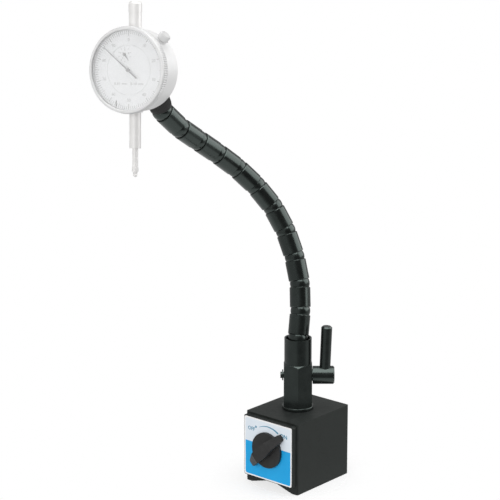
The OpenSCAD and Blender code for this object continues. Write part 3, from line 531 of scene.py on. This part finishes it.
bm = bmesh.new()
for name, out in (("front_plate", -1), ("rear_plate", 1)):
    low, high = (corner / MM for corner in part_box(name))
    face_y = low.y if out < 0 else high.y
    facing = Matrix.Rotation(math.radians(-90 * out), 4, "X")
    for x in (low.x + PLATE_INSET, high.x - PLATE_INSET):
        for z in (low.z + PLATE_INSET, high.z - PLATE_INSET):
            turn = facing @ Matrix.Rotation(PLATE_SLOT_TURN * (x + z), 4, "Z")
            slotted(bm, Matrix.Translation((x, face_y, z)) @ turn, **PLATE_SCREW)
plate_screws = piece("plate_screws_slotted", bm, WORLD, "base", STEEL)
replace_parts(plate_screws, "plate_screws")

bm = bmesh.new()
for i in range(COVER_SCREWS):
    at = polar(COVER_SCREW_R, 45 + 90 * i)
    turn = Matrix.Rotation(math.pi, 4, "X") @ Matrix.Rotation(0.7 * i + 0.4, 4, "Z")
    slotted(bm, Matrix.Translation((at.x, at.y, COVER_BACK)) @ turn, **COVER_SCREW)
cover_screws = piece("cover_screws_slotted", bm, FACE, "indicator", STEEL)
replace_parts(cover_screws, "cover_screws")


# Cable through the arm, in one length for each sleeve, and the spring on the plunger

CABLE_R, STRANDS, LAY = 1.5, 6, 14.0
ROPE_STEPS_PER_MM, ROPE_LEAST_STEPS = 1.2, 8
# Depth of the cable in the puller, and its end beyond the last ball, in metres
CABLE_SOCKET, CABLE_END = 0.0099, 0.0174
SPRING_WIRE, SPRING_TURNS, SPRING_STEPS = 0.25, 9, 20


def rope(bm, start, end):
    """Twisted wires between two points, in millimetres."""
    run = end - start
    along = run.normalized()
    side = along.orthogonal().normalized()
    up = along.cross(side)
    steps = max(ROPE_LEAST_STEPS, int(run.length * ROPE_STEPS_PER_MM))
    wire = CABLE_R / 3
    tube(bm, [start, end], wire, 8)
    for s in range(STRANDS):
        path = []
        for i in range(steps + 1):
            a = math.tau * (s / STRANDS + run.length * i / steps / LAY)
            out = 2 * wire * (math.cos(a) * side + math.sin(a) * up)
            path.append(start + run * i / steps + out)
        tube(bm, path, wire, 6)


low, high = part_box("cable_puller")
cable_foot = Vector((0, 0, high.z - CABLE_SOCKET))
route = [cable_foot, *CENTRES, CENTRES[-1] + HEAD_AXIS * CABLE_END]
carriers = ["puller"] + ["tube_%02d" % k for k in range(1, BALLS)] + ["head"]
for i, body in enumerate(carriers):
    bm = bmesh.new()
    rope(bm, route[i] / MM, route[i + 1] / MM)
    length = piece("cable_%02d" % i, bm, WORLD, body, STEEL)
    if i == 0:
        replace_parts(length, "tension_cable")

spring_span = list(zip(*face_points("return_spring")))
low, high = [min(c) for c in spring_span], [max(c) for c in spring_span]
coil_x, coil_y = (low[0] + high[0]) / 2, (low[2] + high[2]) / 2
coil_r = (high[0] - low[0]) / 2 - SPRING_WIRE
coil_l = high[1] - low[1] - 2 * SPRING_WIRE
coil = []
for i in range(SPRING_TURNS * SPRING_STEPS + 1):
    a = math.tau * i / SPRING_STEPS
    along = low[1] + SPRING_WIRE + coil_l * i / (SPRING_TURNS * SPRING_STEPS)
    coil.append(Vector((coil_x + coil_r * math.cos(a), along, coil_y + coil_r * math.sin(a))))
bm = bmesh.new()
tube(bm, coil, SPRING_WIRE, 8)
spring = piece("spring_coil", bm, FACE, None, STEEL, smooth=math.pi)
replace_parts(spring, "return_spring")
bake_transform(spring)


# Soft edges on the moulded and machined nodes

SAME_POINT = 0.005
SHARP = math.radians(40)
for names, width, segments, held in (
    (["switch_knob"], 0.6, 3, True),
    (["left_pole", "right_pole", "front_plate", "rear_plate"], 0.35, 2, True),
    (["post_stud"], 0.5, 2, False),
):
    for name in names:
        weld = nodes[name].modifiers.new("joined", "WELD")
        weld.merge_threshold = SAME_POINT * MM
        bevel = nodes[name].modifiers.new("edges", "BEVEL")
        bevel.width = width * MM
        bevel.segments = segments
        bevel.limit_method = "ANGLE"
        bevel.angle_limit = SHARP
        bevel.use_clamp_overlap = held
        bevel.harden_normals = True


# Camera and lamps

AIM = Vector((-0.0505, 0.0035, 0.1681))
VIEW, DISTANCE, LENS = (41.38, 14.32), 1.3, 123.8
ROLL = math.radians(-0.15)


def towards(azimuth, elevation):
    """Direction from the aim, by degrees to the right of the front and degrees up."""
    a, e = math.radians(azimuth), math.radians(elevation)
    return Vector((math.sin(a) * math.cos(e), -math.cos(a) * math.cos(e), math.sin(e)))


def facing_aim(out):
    return (-out).to_track_quat("-Z", "Y")


back = towards(*VIEW)
camera = bpy.data.objects.new("camera", bpy.data.cameras.new("camera"))
camera.data.sensor_width = 36
camera.data.lens = LENS
camera.location = AIM + back * DISTANCE
camera.rotation_mode = "QUATERNION"
camera.rotation_quaternion = facing_aim(back) @ Quaternion((0, 0, 1), ROLL)
scene.collection.objects.link(camera)
scene.camera = camera


def softbox(name, direction, distance, size, power, diffuse=True, mirrored=True):
    """Area lamp in a direction from the aim, for diffuse light, for mirrored light or for both."""
    out = towards(*direction)
    lamp = bpy.data.lights.new(name, "AREA")
    lamp.shape = "RECTANGLE"
    lamp.size, lamp.size_y = size
    lamp.energy = power
    made = bpy.data.objects.new(name, lamp)
    made.location = AIM + out * distance
    made.visible_diffuse = diffuse
    made.visible_glossy = mirrored
    made.rotation_mode = "QUATERNION"
    made.rotation_quaternion = facing_aim(out)
    scene.collection.objects.link(made)


softbox("overhead", (41, 76), distance=1.35, size=(1.5, 1.7), power=24, diffuse=False)
softbox("top", (41, 89), distance=1.5, size=(1.0, 1.0), power=8.5, mirrored=False)
softbox("front", (14, 12), distance=1.5, size=(1.0, 1.0), power=11, mirrored=False)
softbox("left", (-35, 18), distance=1.4, size=(1.3, 1.3), power=3, mirrored=False)
softbox("right", (136, 27), distance=1.4, size=(1.7, 1.3), power=13)


# Surroundings: an even fill, a white background, and what surfaces mirror, which is dark on one
# side and has a white floor

FILL, SEEN = 0.5, 1.0
DARK_SIDE = Vector((0.94, -0.34, 0.0))
DARK_SPAN, MIRRORED_LIGHT, MIRRORED_DARK = (0.6, 0.97), 0.40, 0.04
GROUND_SPAN, MIRRORED_FLOOR = (-0.5, -0.3), 0.8
world = bpy.data.worlds.new("studio")
scene.world = world
world.use_nodes = True
tree = world.node_tree


def greater(first, second):
    node = tree.nodes.new("ShaderNodeMath")
    node.operation = "MAXIMUM"
    tree.links.new(first, node.inputs[0])
    tree.links.new(second, node.inputs[1])
    return node.outputs[0]


def mixed(share, first, second):
    """Mix of two levels, each a number or a node's output."""
    node = tree.nodes.new("ShaderNodeMix")
    tree.links.new(share, node.inputs["Factor"])
    for socket, value in (("A", first), ("B", second)):
        if isinstance(value, float):
            node.inputs[socket].default_value = value
        else:
            tree.links.new(value, node.inputs[socket])
    return node.outputs["Result"]


path = tree.nodes.new("ShaderNodeLightPath")
where = tree.nodes.new("ShaderNodeTexCoord").outputs["Generated"]
aside = tree.nodes.new("ShaderNodeVectorMath")
aside.operation = "DOT_PRODUCT"
aside.inputs[1].default_value = DARK_SIDE
tree.links.new(where, aside.inputs[0])
height = tree.nodes.new("ShaderNodeSeparateXYZ")
tree.links.new(where, height.inputs[0])
walls = ranged(tree, aside.outputs["Value"], DARK_SPAN, (MIRRORED_LIGHT, MIRRORED_DARK), smooth=True)
ground = ranged(tree, height.outputs["Z"], GROUND_SPAN, (MIRRORED_FLOOR, 0.0))
light = mixed(path.outputs["Is Glossy Ray"], FILL, greater(walls, ground))
seen = greater(path.outputs["Is Camera Ray"], path.outputs["Is Transmission Ray"])
background = tree.nodes["Background"]
tree.links.new(mixed(seen, light, SEEN), background.inputs["Strength"])
background.inputs["Color"].default_value = (1, 1, 1, 1)


# A pale floor that fades into the background

FLOOR_R, FLOOR_WHITE = 1.6, 0.93
FADE_SPAN, FLOOR_ALPHA = (0.03, 0.075), 0.28
bm = bmesh.new()
bmesh.ops.create_circle(bm, cap_ends=True, radius=FLOOR_R, segments=96)
mesh = bpy.data.meshes.new("floor")
bm.to_mesh(mesh)
bm.free()
floor = bpy.data.objects.new("floor", mesh)
scene.collection.objects.link(floor)
material = bpy.data.materials.new("floor")
material.use_nodes = True
floor_tree = material.node_tree
shader = floor_tree.nodes["Principled BSDF"]
shader.inputs["Base Color"].default_value = (FLOOR_WHITE, FLOOR_WHITE, FLOOR_WHITE, 1)
shader.inputs["Roughness"].default_value = 0.9
shader.inputs["Specular IOR Level"].default_value = 0.1
where = floor_tree.nodes.new("ShaderNodeTexCoord").outputs["Object"]
away = floor_tree.nodes.new("ShaderNodeVectorMath")
away.operation = "LENGTH"
floor_tree.links.new(where, away.inputs[0])
fade = ranged(floor_tree, away.outputs["Value"], FADE_SPAN, (FLOOR_ALPHA, 0.0), smooth=True)
floor_tree.links.new(fade, shader.inputs["Alpha"])
mesh.materials.append(material)

scene.view_settings.view_transform = "Standard"
